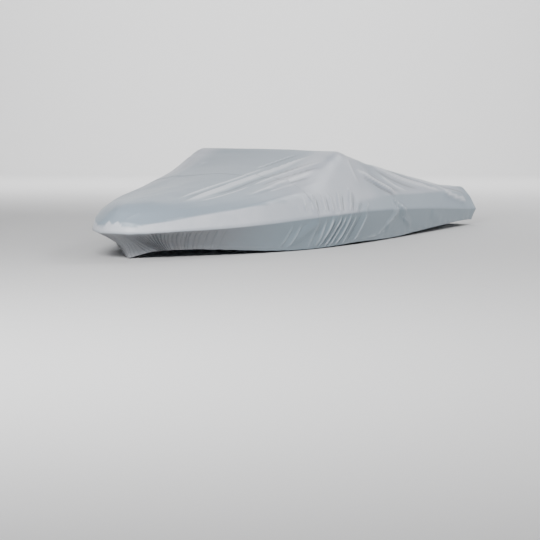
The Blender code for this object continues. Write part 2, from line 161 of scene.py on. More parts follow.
narrowSide = (
    (2.89, 0.790, 2.90, 0.500, -0.045, 0.110, 0.0072, 0.3),    # the ridge's end, down to the shoulder
    (2.93, 0.665, 3.63, 0.380, -0.008, 0.066, 0.0190, 0.3),    # pulls from the ridge's end to the shoulder
    (3.00, 0.600, 3.57, 0.370, -0.008, 0.052, -0.0100, 0.0),
    (3.15, 0.620, 3.72, 0.415, -0.012, 0.050, -0.0066, 0.0),
    (3.48, 0.590, 3.87, 0.405, -0.015, 0.052, 0.0130, 0.2),
    (3.40, 0.650, 4.22, 0.425, -0.030, 0.050, -0.0066, 0.0),
    (3.34, 0.695, 4.78, 0.388, -0.045, 0.062, 0.0206, 0.2),
    (3.70, 0.620, 4.70, 0.425, -0.030, 0.042, -0.0077, 0.0),
    (3.88, 0.600, 4.95, 0.410, -0.020, 0.042, 0.0110, 0.2),
    (4.20, 0.545, 5.10, 0.425, -0.010, 0.038, 0.0083, 0.0),
    (4.70, 0.400, 5.37, 0.258, -0.020, 0.092, 0.0150, 0.3),
    (4.85, 0.425, 5.40, 0.330, 0.008, 0.042, -0.0066, 0.0),
    (3.05, 0.600, 3.30, 0.420, 0.004, 0.034, 0.0069, 0.0),
    (1.895, 0.300, 1.925, 0.400, 0.000, 0.019, 0.0071, 0.2),   # short folds between rim and shoulder
    (1.90, 0.318, 1.955, 0.435, 0.002, 0.022, 0.0116, 0.3),
    (1.98, 0.312, 2.038, 0.447, -0.002, 0.022, 0.0126, 0.3),
    (2.025, 0.300, 2.110, 0.465, 0.003, 0.025, 0.0153, 0.3),
    (2.06, 0.295, 2.120, 0.420, 0.002, 0.020, -0.0079, 0.0),
    (2.10, 0.300, 2.160, 0.440, -0.002, 0.020, 0.0107, 0.3),
    (2.16, 0.305, 2.222, 0.455, 0.003, 0.024, 0.0144, 0.3),
    (2.20, 0.295, 2.270, 0.430, 0.000, 0.020, -0.0079, 0.0),
    (2.25, 0.290, 2.330, 0.445, 0.003, 0.022, 0.0126, 0.3),
    (2.31, 0.290, 2.390, 0.430, 0.000, 0.020, 0.0107, 0.3),
    (2.36, 0.280, 2.485, 0.480, 0.004, 0.029, 0.0198, 0.4),
    (2.42, 0.285, 2.530, 0.440, 0.000, 0.022, -0.0094, 0.0),
    (2.50, 0.275, 2.702, 0.500, 0.004, 0.029, 0.0234, 0.4),
    (2.56, 0.280, 2.700, 0.430, 0.000, 0.022, -0.0094, 0.0),
    (2.59, 0.268, 2.778, 0.385, 0.003, 0.024, 0.0153, 0.3),
    (2.66, 0.270, 2.820, 0.370, 0.000, 0.020, -0.0070, 0.0),
    (2.78, 0.268, 2.928, 0.358, 0.003, 0.024, 0.0126, 0.3),
    (1.80, 0.300, 1.840, 0.380, 0.000, 0.020, 0.0071, 0.2),
    (1.72, 0.232, 1.590, 0.030, 0.006, 0.025, 0.0086, 0.3),    # slack folds of the skirt
    (1.83, 0.238, 1.660, 0.020, 0.006, 0.025, 0.0109, 0.3),
    (2.04, 0.250, 1.895, -0.010, 0.004, 0.055, 0.0075, 0.4),
    (2.16, 0.255, 2.000, 0.000, 0.004, 0.040, 0.0095, 0.3),
    (2.26, 0.270, 2.040, 0.000, 0.008, 0.031, 0.0146, 0.4),
    (2.30, 0.270, 2.100, 0.010, 0.006, 0.022, -0.0086, 0.0),
    (2.385, 0.285, 2.115, -0.010, 0.010, 0.026, 0.0158, 0.4),
    (2.43, 0.280, 2.190, 0.010, 0.008, 0.022, -0.0086, 0.0),
    (2.475, 0.282, 2.175, -0.010, 0.008, 0.023, 0.0140, 0.4),
    (2.55, 0.285, 2.265, -0.010, 0.008, 0.023, 0.0140, 0.4),
    (2.60, 0.280, 2.320, 0.010, 0.006, 0.022, -0.0086, 0.0),
    (2.65, 0.280, 2.365, -0.010, 0.008, 0.023, 0.0134, 0.4),
    (2.73, 0.278, 2.460, 0.010, 0.006, 0.022, -0.0061, 0.0),
    (2.83, 0.280, 2.570, 0.010, 0.006, 0.023, 0.0134, 0.4),
    (2.97, 0.085, 2.860, 0.030, 0.002, 0.016, 0.0086, 0.3),
    (3.06, 0.105, 2.980, 0.040, 0.001, 0.016, 0.0073, 0.3),
    (3.40, 0.372, 3.690, 0.222, 0.006, 0.021, 0.0122, 0.3),    # the star of creases by the quarter
    (3.37, 0.335, 3.520, 0.225, 0.004, 0.018, 0.0099, 0.3),
    (3.45, 0.330, 3.590, 0.240, 0.004, 0.017, -0.0066, 0.0),
    (3.53, 0.275, 3.215, 0.075, -0.012, 0.029, 0.0155, 0.4),
    (3.26, 0.095, 2.860, 0.035, 0.006, 0.022, 0.0088, 0.2),
    (3.47, 0.220, 3.190, 0.070, -0.008, 0.026, -0.0088, 0.0),
    (3.53, 0.210, 3.830, 0.070, 0.010, 0.032, 0.0110, 0.3),
    (3.50, 0.300, 3.420, 0.395, 0.000, 0.022, 0.0077, 0.0),
    (3.56, 0.240, 3.640, 0.120, 0.004, 0.023, -0.0077, 0.0),
    (3.40, 0.220, 3.020, 0.050, 0.010, 0.039, 0.0077, 0.3),
)

# Where the cloth at a place along the rim ends up along the hem: gathered in under the bow, pulled forward
# amidships
gatherRun = (
    (0.0, 0.0), (0.03, 0.22), (0.055, 0.37), (0.092, 0.485), (0.14, 0.512), (0.24, 0.530), (0.305, 0.542),
    (0.35, 0.552), (0.40, 0.567), (0.47, 0.592), (0.51, 0.625), (0.64, 0.715), (0.80, 0.840), (1.0, 1.0),
    (1.40, 1.40), (1.55, 1.48), (1.72, 1.60), (1.83, 1.71), (1.93, 1.93), (2.03, 1.960), (2.13, 1.992),
    (2.26, 2.05), (2.385, 2.125), (2.475, 2.19), (2.55, 2.27), (2.65, 2.37), (2.83, 2.57), (3.06, 2.94),
    (3.25, 3.22), (3.45, 3.45), (9.0, 9.0),
)

# Pleats of that gather: place along the rim, half width and depth there
gathers = (
    (0.007, 0.0060, 0.0046), (0.018, 0.0065, 0.0052), (0.030, 0.0065, 0.0058), (0.043, 0.0075, 0.0058),
    (0.058, 0.0087, 0.0127), (0.076, 0.0101, 0.0136), (0.096, 0.0120, 0.0157), (0.120, 0.0138, 0.0166),
    (0.148, 0.0156, 0.0175), (0.180, 0.0175, 0.0196), (0.212, 0.0166, 0.0175), (0.245, 0.0184, 0.0205),
    (0.280, 0.0184, 0.0186), (0.314, 0.0184, 0.0196), (0.350, 0.0193, 0.0205), (0.390, 0.0202, 0.0175),
    (0.430, 0.0184, 0.0152), (0.468, 0.0175, 0.0128), (0.506, 0.0156, 0.0120), (0.548, 0.0184, 0.0135),
    (0.592, 0.0156, 0.0103), (0.634, 0.0147, 0.0128), (0.662, 0.0129, 0.0111), (0.715, 0.0147, 0.0088),
    (0.760, 0.0138, 0.0103), (0.825, 0.0129, 0.0079), (0.900, 0.0138, 0.0088), (0.985, 0.0129, 0.0064),
)

foldLook = {
    "starboardShift": 0.14, "starboardDepth": 0.8, "starboardWiden": 0.9, "starboardHeight": 0.55,
    "starboardEdge": 0.04, "smoothAtMiddle": 0.12, "narrowSmoothAtMiddle": 0.03, "stillAtMiddle": 0.02,
    "fade": 0.2, "narrowFade": 0.24, "crestShift": 0.55, "sharpness": 1.25,
    "pleatMark": 0.5, "gatherFade": 0.22, "gatherEase": 0.35,
    "crestDepth": 0.008,                       # the relief that counts as fully crest or hollow in the painted highlight and shade
    "ripples": 14, "rippleHeight": 0.0011,     # slow unevenness of the whole cloth
    "rippleLengths": (0.18, 0.6), "rippleSeed": 7,
}

hemLook = {
    "band": 0.034, "step": 0.0035, "raise": 0.0016,            # the turned-up band and how it stands out
    "roll": 0.012, "rollRaise": 0.0030,                        # the thin roll at the very edge
    "bandRows": (1.0, 0.7), "rollRows": (1.25, 1.0, 0.62, 0.3, 0.0),   # where the mesh has rows over both
    "scallop": 0.0022, "scallopRun": 0.171,                    # how far and how often the edge waves in and out
    "scallopSwing": 1.1, "scallopSwingRun": 0.53,
    "scallopReach": 0.09, "scallopFromBow": 0.5, "scallopToStern": 0.1,
    "lap": 0.012, "lapStep": 0.006, "lapRaise": 0.0014,        # the main panel's edge lies over the bow panel's
}
sheetThickness = 0.0010
weldFade = 0.6          # from the welded row the mesh's columns move to port over this length
skirtFrom = 0.999       # faces past this share take their place along the rim as the cloth's own coordinate

# Where light is painted on the band over the gunwale at the bow: distances along the rim and heights of its
# upper edge
bowBandLightEdge = (
    (0.00, 0.284), (0.045, 0.312), (0.100, 0.262), (0.170, 0.262), (0.265, 0.282), (0.335, 0.290),
    (0.600, 0.320), (0.970, 0.364), (1.400, 0.405), (1.900, 0.440), (2.300, 0.450),
)
# how the painted light of that band fades aft and stops just past the rim
bowBandLightLook = {"edge": 0.012, "fadeFrom": 1.15, "fade": 1.0, "pastRim": 0.004, "pastRimFade": 0.00667}
# painted shade under the bow: the skirt there is darker, fading aft; from and edge also set where the skirt
# starts
underBowShadeLook = {"from": 0.004, "edge": 0.012, "fadeFrom": 0.60, "fade": 1.25}
# painted light on the facets of both sides ahead of the ridge, stopping above the shoulder aft
facetLightLook = {
    "offset": 0.42, "edge": 0.20, "from": 1.05, "fade": 0.75, "to": 2.72, "end": 0.42,
    "shoulderFrom": 2.25, "shoulderFade": 0.3, "shoulderStart": 0.380, "shoulderSlope": 0.055,
    "shoulderEdge": 0.05,
}
# painted light on the quarters' facets above the shoulder, aft of the ridge
quarterLook = {
    "offset": 0.66, "edge": 0.18, "from": 2.75, "fade": 0.45, "to": 4.65, "end": 0.6,
    "belowShoulder": 0.012, "shoulderEdge": 0.014, "share": 0.75,
}


def easeIn(distance, length):
    # 0 to 1 over the length, level at both ends
    part = np.clip(distance / length, 0, 1)
    return part * part * (3 - 2 * part)


def column(name):
    # one named column of the rib table
    return np.array([row[coverForm["columns"].index(name)] for row in coverForm["ribs"]])


def smoothThrough(place, places, values, endSlope=None):
    # Hermite cubics between rows; each inner slope is the mean of its chords, weighted by the other's length
    step = np.diff(places)
    slope = np.diff(values) / step
    inner = (slope[:-1] * step[1:] + slope[1:] * step[:-1]) / (step[:-1] + step[1:])
    first, last = (slope[:1], slope[-1:]) if endSlope is None else ([endSlope], [endSlope])
    tangent = np.concatenate([first, inner, last])
    row = np.clip(np.searchsorted(places, place, side="right") - 1, 0, len(places) - 2)
    t = (place - places[row]) / step[row]
    rise = values[row] * (1 + 2 * t) * (1 - t) ** 2 + values[row + 1] * t * t * (3 - 2 * t)
    return rise + step[row] * (tangent[row] * t * (1 - t) ** 2 + tangent[row + 1] * t * t * (t - 1))


rimSteps = np.hypot(np.diff(column("rimX")), np.diff(column("rimY")))
rimPlaces = np.concatenate([[0.0], np.cumsum(rimSteps)])
rimLength = rimPlaces[-1]


def alongRim(name, along):
    # a rib value at any distance along the rim, level at bow and stern unless it runs across the middle there
    return smoothThrough(along, rimPlaces, column(name), None if name in ("rimY", "hemY") else 0.0)


def sectionHeight(share, rib, middleZ):
    # straight from the middle to the hip, to the shoulder, to the rim
    toHip = middleZ + (rib["hipZ"] - middleZ) * share / rib["hipShare"]
    pastHip = (share - rib["hipShare"]) / (rib["shoulderShare"] - rib["hipShare"])
    pastShoulder = (share - rib["shoulderShare"]) / (1 - rib["shoulderShare"])
    toShoulder = rib["hipZ"] + (rib["shoulderZ"] - rib["hipZ"]) * pastHip
    toRim = rib["shoulderZ"] + (rib["rimZ"] - rib["shoulderZ"]) * pastShoulder
    return np.where(share < rib["hipShare"], toHip, np.where(share < rib["shoulderShare"], toShoulder, toRim))


def tautCloth(along, share):
    # a point of the unfolded cover: along the rim and across it, share 0 at the middle, 1 at the rim, 2 at the
    # hem; the section's corners are rounded by a weighted mean over nearby shares, and starboard leans higher
    around = rimLength - np.abs(rimLength - np.abs(along))
    otherSide = (along < 0) | (along > rimLength)
    side = np.where((share < 0) != otherSide, -1.0, 1.0)
    rib = {name: alongRim(name, around) for name in coverForm["columns"]}
    toRim = np.minimum(np.abs(share), 1.0)
    below = np.maximum(np.abs(share) - 1.0, 0.0)
    stations, heights = np.array(coverForm["middle"]).T
    middleZ = smoothThrough(rib["middleX"], stations, heights)
    further = coverForm["innerReach"] * np.maximum(coverForm["innerFrom"] - toRim, 0)
    reach = np.minimum(rib["hipRound"], coverForm["rimReach"] * (1 - toRim) + further)
    offsets = np.linspace(-1, 1, coverForm["roundSteps"])[1:-1]
    weights = 1 - offsets ** 2
    height = sum(w * sectionHeight(np.abs(toRim + o * reach), rib, middleZ) for o, w in zip(offsets, weights))
    height = height / weights.sum()
    x = rib["middleX"] + (rib["rimX"] - rib["middleX"]) * toRim
    y = rib["rimY"] * toRim
    height = height + coverForm["lean"] * side * y * (height - rib["rimZ"])
    hollow = coverForm["hollow"] * (1 - easeIn(around - coverForm["hollowFrom"], coverForm["hollowFade"]))
    inwards = below + 4 * hollow * below * (1 - below)
    x = x + (rib["hemX"] - rib["rimX"]) * inwards
    y = y + (rib["hemY"] - rib["rimY"]) * inwards
    height = height + (rib["hemZ"] - rib["rimZ"]) * below
    return np.stack([x, side * y, height], -1)


def outward(along, share, probe=0.001):
    # unit normal: cross product of the two central differences of the unfolded cover
    inner = np.where(np.abs(share) < probe, np.clip(along, probe, rimLength - probe), along)
    run = tautCloth(inner + probe, share) - tautCloth(inner - probe, share)
    across = tautCloth(inner, share + probe) - tautCloth(inner, share - probe)
    normal = np.cross(run, across)
    return normal / np.linalg.norm(normal, axis=-1, keepdims=True)


def broadFold(distance, part, width, height):
    # (1 - u squared) squared across, faded in and out along
    u = np.clip(distance / (width / 2), -1, 1)
    return height * (1 - u * u) ** 2 * easeIn(np.minimum(part, 1 - part), foldLook["fade"])


def creaseProfile(distance, towardsStarboard, towardsPort):
    # (1 - t to the sharpness) squared, where t is the distance as a share of that flank's width
    t = np.clip(np.where(distance > 0, distance / towardsStarboard, -distance / towardsPort), 0, 1)
    return (1 - t ** foldLook["sharpness"]) ** 2


def narrowFold(p, q, fold, widen):
    # crease profile of the distance from a parabola between the two ends, times the height and faded in and out
    # along; a crest moved to one side makes one flank steep
    p0, q0, p1, q1, bow, width, height, shift = fold
    length = math.hypot(p1 - p0, q1 - q0)
    runP, runQ = (p1 - p0) / length, (q1 - q0) / length
    part = ((p - p0) * runP + (q - q0) * runQ) / length
    distance = (q - q0) * runP - (p - p0) * runQ - 4 * bow * part * (1 - part)
    half = width / 2 * widen
    crest = foldLook["crestShift"] * shift * half
    ends = easeIn(np.minimum(part, 1 - part), foldLook["narrowFade"])
    return height * creaseProfile(distance - crest, half - crest, half + crest) * ends


def streak(x, y, fold):
    # crease profile of the distance to starboard from a smooth curve through the crest's places: 1 on it, faded
    # in and out along
    _, _, steep, easy, places = fold
    stations, offsets = np.array(places).T
    part = (x - stations[0]) / (stations[-1] - stations[0])
    distance = y - smoothThrough(np.clip(x, stations[0], stations[-1]), stations, offsets)
    return creaseProfile(distance, steep, easy) * easeIn(np.minimum(part, 1 - part), foldLook["narrowFade"])


def broadHeights(point, around):
    # the folds of the solid: curved ones on the top, straight ones on the sides
    x, y, z = np.moveaxis(point, -1, 0)
    top = 0
    for x0, y0, x1, y1, x2, y2, width, height in broadTop:
        part = (x - x0) / (x2 - x0)
        half = (x1 - x0) / (x2 - x0)
        bend = (y1 - y0 - (y2 - y0) * half) / (half * (1 - half))
        top = top + broadFold(y - y0 - (y2 - y0) * part - bend * part * (1 - part), part, width, height)
    own = np.where(y < 0, around, around + foldLook["starboardShift"])
    sides = 0
    for a0, z0, a1, z1, width, height in broadSide:
        length = math.hypot(a1 - a0, z1 - z0)
        part = ((own - a0) * (a1 - a0) + (z - z0) * (z1 - z0)) / length ** 2
        distance = ((z - z0) * (a1 - a0) - (own - a0) * (z1 - z0)) / length
        sides = sides + broadFold(distance, part, width, height)
    clear = easeIn(np.minimum(around, rimLength - around), foldLook["smoothAtMiddle"])
    return top, sides * clear * np.where(y < 0, 1.0, foldLook["starboardDepth"])


def narrowHeights(point, around, onTop, pleats):
    # sums of the creases and pleats that only show close by, and of how much each paints highlight on its crest
    # and shade in its hollow into the cloth's colour; the starboard side has the side ones too, shifted, wider
    # and lower
    x, y, z = np.moveaxis(point, -1, 0)
    toStarboard = easeIn(y + foldLook["starboardEdge"] / 2, foldLook["starboardEdge"])
    widen = 1 + toStarboard * foldLook["starboardWiden"]
    lower = 1 - toStarboard * (1 - foldLook["starboardHeight"])
    top = sum(narrowFold(x, y, fold, widen) for fold in narrowTop) * lower
    lines = [streak(x, y, fold) for fold in streaks]
    drawn = sum(fold[0] * line for fold, line in zip(streaks, lines))
    # painted highlight on the streaks' crests and painted shade in their hollows
    streakLightAndShade = sum(fold[1] * line for fold, line in zip(streaks, lines)) * foldLook["crestDepth"]
    own = around + foldLook["starboardShift"] * toStarboard
    sides = sum(narrowFold(own, z, fold, widen) for fold in narrowSide) * lower
    clear = easeIn(np.minimum(around, rimLength - around), foldLook["narrowSmoothAtMiddle"])
    heights = np.where(onTop, top + drawn, 0.0) + (sides + pleats) * clear
    marks = np.where(onTop, top + streakLightAndShade, 0.0) + (sides + pleats * foldLook["pleatMark"]) * clear
    return heights, marks


def leanOver(place, row, share):
    # in the skirt the rows lean over evenly from their place at the rim to their place at the hem
    depth = np.clip(np.abs(share) - 1, 0, 1)
    return place + depth * (np.interp(row, *np.array(gatherRun).T) - row)


def gatherPleats(row, share):
    # valleys along the leaning rows, no deeper than the room that the gather leaves them
    rim, hem = np.array(gatherRun).T
    slope = np.clip(np.interp(row, (rim[1:] + rim[:-1]) / 2, np.diff(hem) / np.diff(rim)), 0, 1)
    depth = np.clip(np.abs(share) - 1, 0, 1)
    valleys = sum(height * creaseProfile(row - place, half, half) for place, half, height in gathers)
    room = np.sqrt(1 - depth * (1 - slope)) * (1 - foldLook["gatherEase"] * depth)
    return -valleys * room * easeIn(depth, foldLook["gatherFade"])


def slowRipples(point):
    # a sum of slanting sine waves with seeded directions and lengths
    chance = np.random.default_rng(foldLook["rippleSeed"])
    total = 0
    for _ in range(foldLook["ripples"]):
        direction = chance.normal(size=3)
        turn = 2 * math.pi / chance.uniform(*foldLook["rippleLengths"])
        direction = direction / np.linalg.norm(direction) * turn
        total = total + np.sin(point @ direction + chance.uniform(0, 2 * math.pi))
    return foldLook["rippleHeight"] * total / math.sqrt(foldLook["ripples"])


def askew(along, share):
    # near the seam, by a bell curve along, the ribs stand further aft to port
    nearness = np.exp(-((along - coverForm["seamAlong"]) / coverForm["seamReach"]) ** 2)
    across = np.clip(share, -1, 1) * alongRim("rimY", along)
    return along - coverForm["seamAskew"] * nearness * across * easeIn(along, coverForm["seamReach"])


def spread(spans):
    # grid positions from (from, to, steps) spans that follow each other
    return np.concatenate([np.linspace(a, b, n + 1)[:-1] for a, b, n in spans] + [[spans[-1][1]]])


def acrossShares(along, spansEven, spansDense, stepsBelow, nearWeld):
    # shares for every row: above the rim symmetric at the welded row and closer together to port elsewhere;
    # below it even, then close together over the hem's band and roll
    weight = easeIn(nearWeld, weldFade)[:, None]
    above = spread(spansEven) * (1 - weight) + spread(spansDense) * weight
    top, hem = tautCloth(along, np.ones_like(along)), tautCloth(along, 2 * np.ones_like(along))
    drop = np.linalg.norm(hem - top, axis=-1)
    band, step, roll = hemLook["band"] / drop, hemLook["step"] / drop, hemLook["roll"] / drop
    even = 1 + (1 - band - step)[:, None] * np.linspace(0, 1, stepsBelow + 1)[None, 1:]
    close = [2 - band * part for part in hemLook["bandRows"]]
    close = close + [2 - roll * part for part in hemLook["rollRows"]]
    below = np.concatenate([even, np.stack(close, 1)], axis=1)
    return np.concatenate([-below[:, ::-1], above, below], axis=1)


def within(place, look):
    # eased in after "from" over "fade", and out after "to" over "end"
    return easeIn(place - look["from"], look["fade"]) * (1 - easeIn(place - look["to"], look["end"]))


def paintedLightMasks(point, around, share):
    # products of eased edges: 1 where light is painted on the band over the gunwale at the bow, where shade is
    # painted under the bow and all over the skirt, up to 1 where light is painted on the facets of both sides,
    # ahead of the ridge and over the shoulder aft of it
    x, y, z = np.moveaxis(point, -1, 0)
    # painted light on the band over the gunwale at the bow
    edge = np.interp(around, *np.array(bowBandLightEdge).T)
    bowBandLight = 1 - easeIn(around - bowBandLightLook["fadeFrom"], bowBandLightLook["fade"])
    bowBandLight = bowBandLight * easeIn(edge - z, bowBandLightLook["edge"])
    bowBandLight = bowBandLight * easeIn(1 + bowBandLightLook["pastRim"] - np.abs(share), bowBandLightLook["pastRimFade"])
    # painted shade on the whole skirt, and darker still under the bow, fading aft
    skirt = easeIn(np.abs(share) - 1 - underBowShadeLook["from"], underBowShadeLook["edge"])
    underBowShade = skirt * (1 - easeIn(around - underBowShadeLook["fadeFrom"], underBowShadeLook["fade"]))

    # painted light on the side facets ahead of the ridge and on the quarters
    look = facetLightLook
    shoulder = look["shoulderStart"] + look["shoulderSlope"] * (x - look["shoulderFrom"])
    belowIt = easeIn(x - look["shoulderFrom"], look["shoulderFade"])
    belowIt = belowIt * easeIn(shoulder - z, look["shoulderEdge"])
    ahead = easeIn(np.abs(y) - look["offset"], look["edge"]) * within(x, look) * (1 - belowIt)
    look = quarterLook
    overIt = easeIn(z + look["belowShoulder"] - alongRim("shoulderZ", around), look["shoulderEdge"])
    quarter = look["share"] * easeIn(np.abs(y) - look["offset"], look["edge"]) * within(x, look) * overIt
    facetLight = np.maximum(ahead, quarter) * (1 - skirt)
    return {"bowBandLight": bowBandLight, "underBowShade": underBowShade, "skirt": skirt, "facetLight": facetLight}


def clothSurface(along, share, row):
    # unfolded point + normal * (broad folds + narrow folds + ripples + hem band and roll + scallop)
    point, normal = tautCloth(along, share), outward(along, share)
    around = rimLength - np.abs(rimLength - np.abs(along))
    onTop = np.abs(share) < 1
    broadOnTop, broadOnSides = broadHeights(point, around)
    narrow, marks = narrowHeights(point, around, onTop, gatherPleats(row, share))
    side = np.where(share < 0, -1.0, 1.0)
    drop = np.linalg.norm(tautCloth(along, 2 * side) - tautCloth(along, side), axis=-1)
    toHem = np.where(onTop, 1.0, (2 - np.abs(share)) * drop)
    band = hemLook["raise"] * (1 - easeIn(toHem - hemLook["band"], hemLook["step"]))
    inRoll = np.clip(1 - toHem / hemLook["roll"], 0, 1)
    roll = hemLook["rollRaise"] * np.sqrt(np.clip(1 - (2 * inRoll - 1) ** 2, 0, 1)) * (toHem < hemLook["roll"])
    swing = hemLook["scallopSwing"] * np.sin(2 * math.pi * around / hemLook["scallopSwingRun"])
    wave = np.sin(2 * math.pi * around / hemLook["scallopRun"] + swing)
    ends = easeIn(around, hemLook["scallopFromBow"]) * easeIn(rimLength - around, hemLook["scallopToStern"])
    scallop = hemLook["scallop"] * wave * ends * (1 - easeIn(toHem, hemLook["scallopReach"]))
    still = easeIn(np.minimum(around, rimLength - around), foldLook["stillAtMiddle"])
    height = np.where(onTop, broadOnTop, 0.0) + broadOnSides + narrow + slowRipples(point) * still
    height = height + band + roll + scallop
    return point + normal * height[..., None], marks, toHem, paintedLightMasks(point, around, share)


class Value:
    # a number in the node tree: arithmetic on it adds Math nodes
    def __init__(self, shading, socket):
        self.shading, self.socket = shading, socket

    def math(self, operation, *others):
        node = self.shading.node("ShaderNodeMath", {"operation": operation}, dict(enumerate((self,) + others)))
        return Value(self.shading, node.outputs[0])

    def reflected(self, operation, other):
        node = self.shading.node("ShaderNodeMath", {"operation": operation}, {0: other, 1: self})
        return Value(self.shading, node.outputs[0])

    def __add__(self, other): return self.math("ADD", other)
    def __radd__(self, other): return self.math("ADD", other)
    def __sub__(self, other): return self.math("SUBTRACT", other)
    def __rsub__(self, other): return self.reflected("SUBTRACT", other)
    def __mul__(self, other): return self.math("MULTIPLY", other)
    def __rmul__(self, other): return self.math("MULTIPLY", other)
    def __truediv__(self, other): return self.math("DIVIDE", other)
    def __lt__(self, other): return self.math("LESS_THAN", other)
    def __mod__(self, other): return self.math("FLOORED_MODULO", other)
    def __abs__(self): return self.math("ABSOLUTE")

    def sine(self): return self.math("SINE")
    def clamped(self): return self.math("MAXIMUM", 0.0).math("MINIMUM", 1.0)


class Shading:
    # the node tree of a material or a world
    def __init__(self, owner):
        owner.use_nodes = True
        self.owner, self.tree = owner, owner.node_tree
        self.surface = self.tree.nodes.get("Principled BSDF") or self.tree.nodes["Background"]

    def feed(self, socket, value):
        if isinstance(value, Value):
            self.tree.links.new(value.socket, socket)
        elif isinstance(value, bpy.types.NodeSocket):
            self.tree.links.new(value, socket)
        else:
            socket.default_value = value

    def node(self, kind, settings=None, values=None):
        # settings first, then the values or links of its sockets
        made = self.tree.nodes.new(kind)
        for name, value in (settings or {}).items():
            setattr(made, name, value)
        for name, value in (values or {}).items():
            self.feed(made.inputs[name], value)
        return made

    def attribute(self, name):
        return Value(self, self.node("ShaderNodeAttribute", {"attribute_name": name}).outputs["Fac"])

    def noise(self, coordinates, scale, detail=2.0, roughness=0.5):
        values = {"Vector": coordinates, "Scale": scale, "Detail": detail, "Roughness": roughness}
        return Value(self, self.node("ShaderNodeTexNoise", None, values).outputs["Fac"])

    def mixColour(self, factor, first, second):
        # colours go through Mix: sockets 6 and 7 are its two colours, output 2 the mixed one
        made = self.node("ShaderNodeMix", {"data_type": "RGBA"}, {0: factor, 6: first, 7: second})
        return made.outputs[2]


clothLook = {
    "colour": (0.330, 0.405, 0.478, 1.0),      # blue grey coated cloth
    "faded": (0.385, 0.458, 0.527, 1.0), "fadedShare": 0.5,
    "fadedClouds": 1.6, "fadedFrom": 0.42, "fadedBlotches": 0.7,
    # painted shade: the skirt below the rim is darker all round
    "skirt": (0.228, 0.292, 0.338, 1.0), "skirtShadeShare": 0.9,
    "pale": (0.860, 0.890, 0.940, 1.0), "crestHighlightShare": 0.7, "skirtCrestLess": 0.38,     # painted highlights on the crests
    "dull": (0.120, 0.138, 0.155, 1.0), "hollowShadeShare": 0.65,   # painted shade in the hollows
    "grime": (0.275, 0.285, 0.290, 1.0), "grimeShare": 0.55, "grimeReach": 0.30,       # road dust, low down
    "grimeLeast": 0.10, "grimeBlotches": 0.5, "grimeFrom": 0.35, "grimeCrestLess": 0.10,
    # painted light: the band over the gunwale at the bow is lighter
    "bowBandLight": (0.720, 0.745, 0.800, 1.0), "bowBandLightShare": 0.88, "bowBandLightBlotches": 0.5,
    # painted light: the side facets that face the light are lighter
    "facetLight": (0.585, 0.615, 0.685, 1.0), "facetLightShare": 0.84, "facetLightClouds": 1.2,
    "underBowShade": (0.205, 0.203, 0.216, 1.0), "underBowShadeShare": 0.85, "underBowShadeBlotches": 0.6,  # painted shade under the bow's overhang
    "thread": (0.345, 0.370, 0.395, 1.0), "threadShare": 0.8,
    "roughness": 0.42, "roughClouds": 0.10, "roughGrain": 0.06, "roughGrime": 0.25, "smoothCrest": 0.04,
    "roughThread": 0.2, "coat": 0.35, "coatRoughness": 0.30, "specular": 0.5,
    "clouds": (1.6, 3.0, 0.55),                # noise: scale, detail, roughness
    "blotches": (9.0, 4.0, 0.6), "grain": (160.0, 2.0, 0.6),
    "weave": 0.0018, "weaveDepth": 0.00012,    # thread pitch and relief
    "blotchDepth": 0.0016, "grainDepth": 0.00012,
    "stitch": 0.009, "stitchFill": 0.62, "stitchWidth": 0.0012, "stitchDepth": 0.0004,
    "seamRows": (0.003, 0.009), "hemRow": 0.029,
    "seamPucker": (0.03, 0.024), "hemPucker": (0.02, 0.026), "puckerDepth": 0.0004,    # reach and run
}


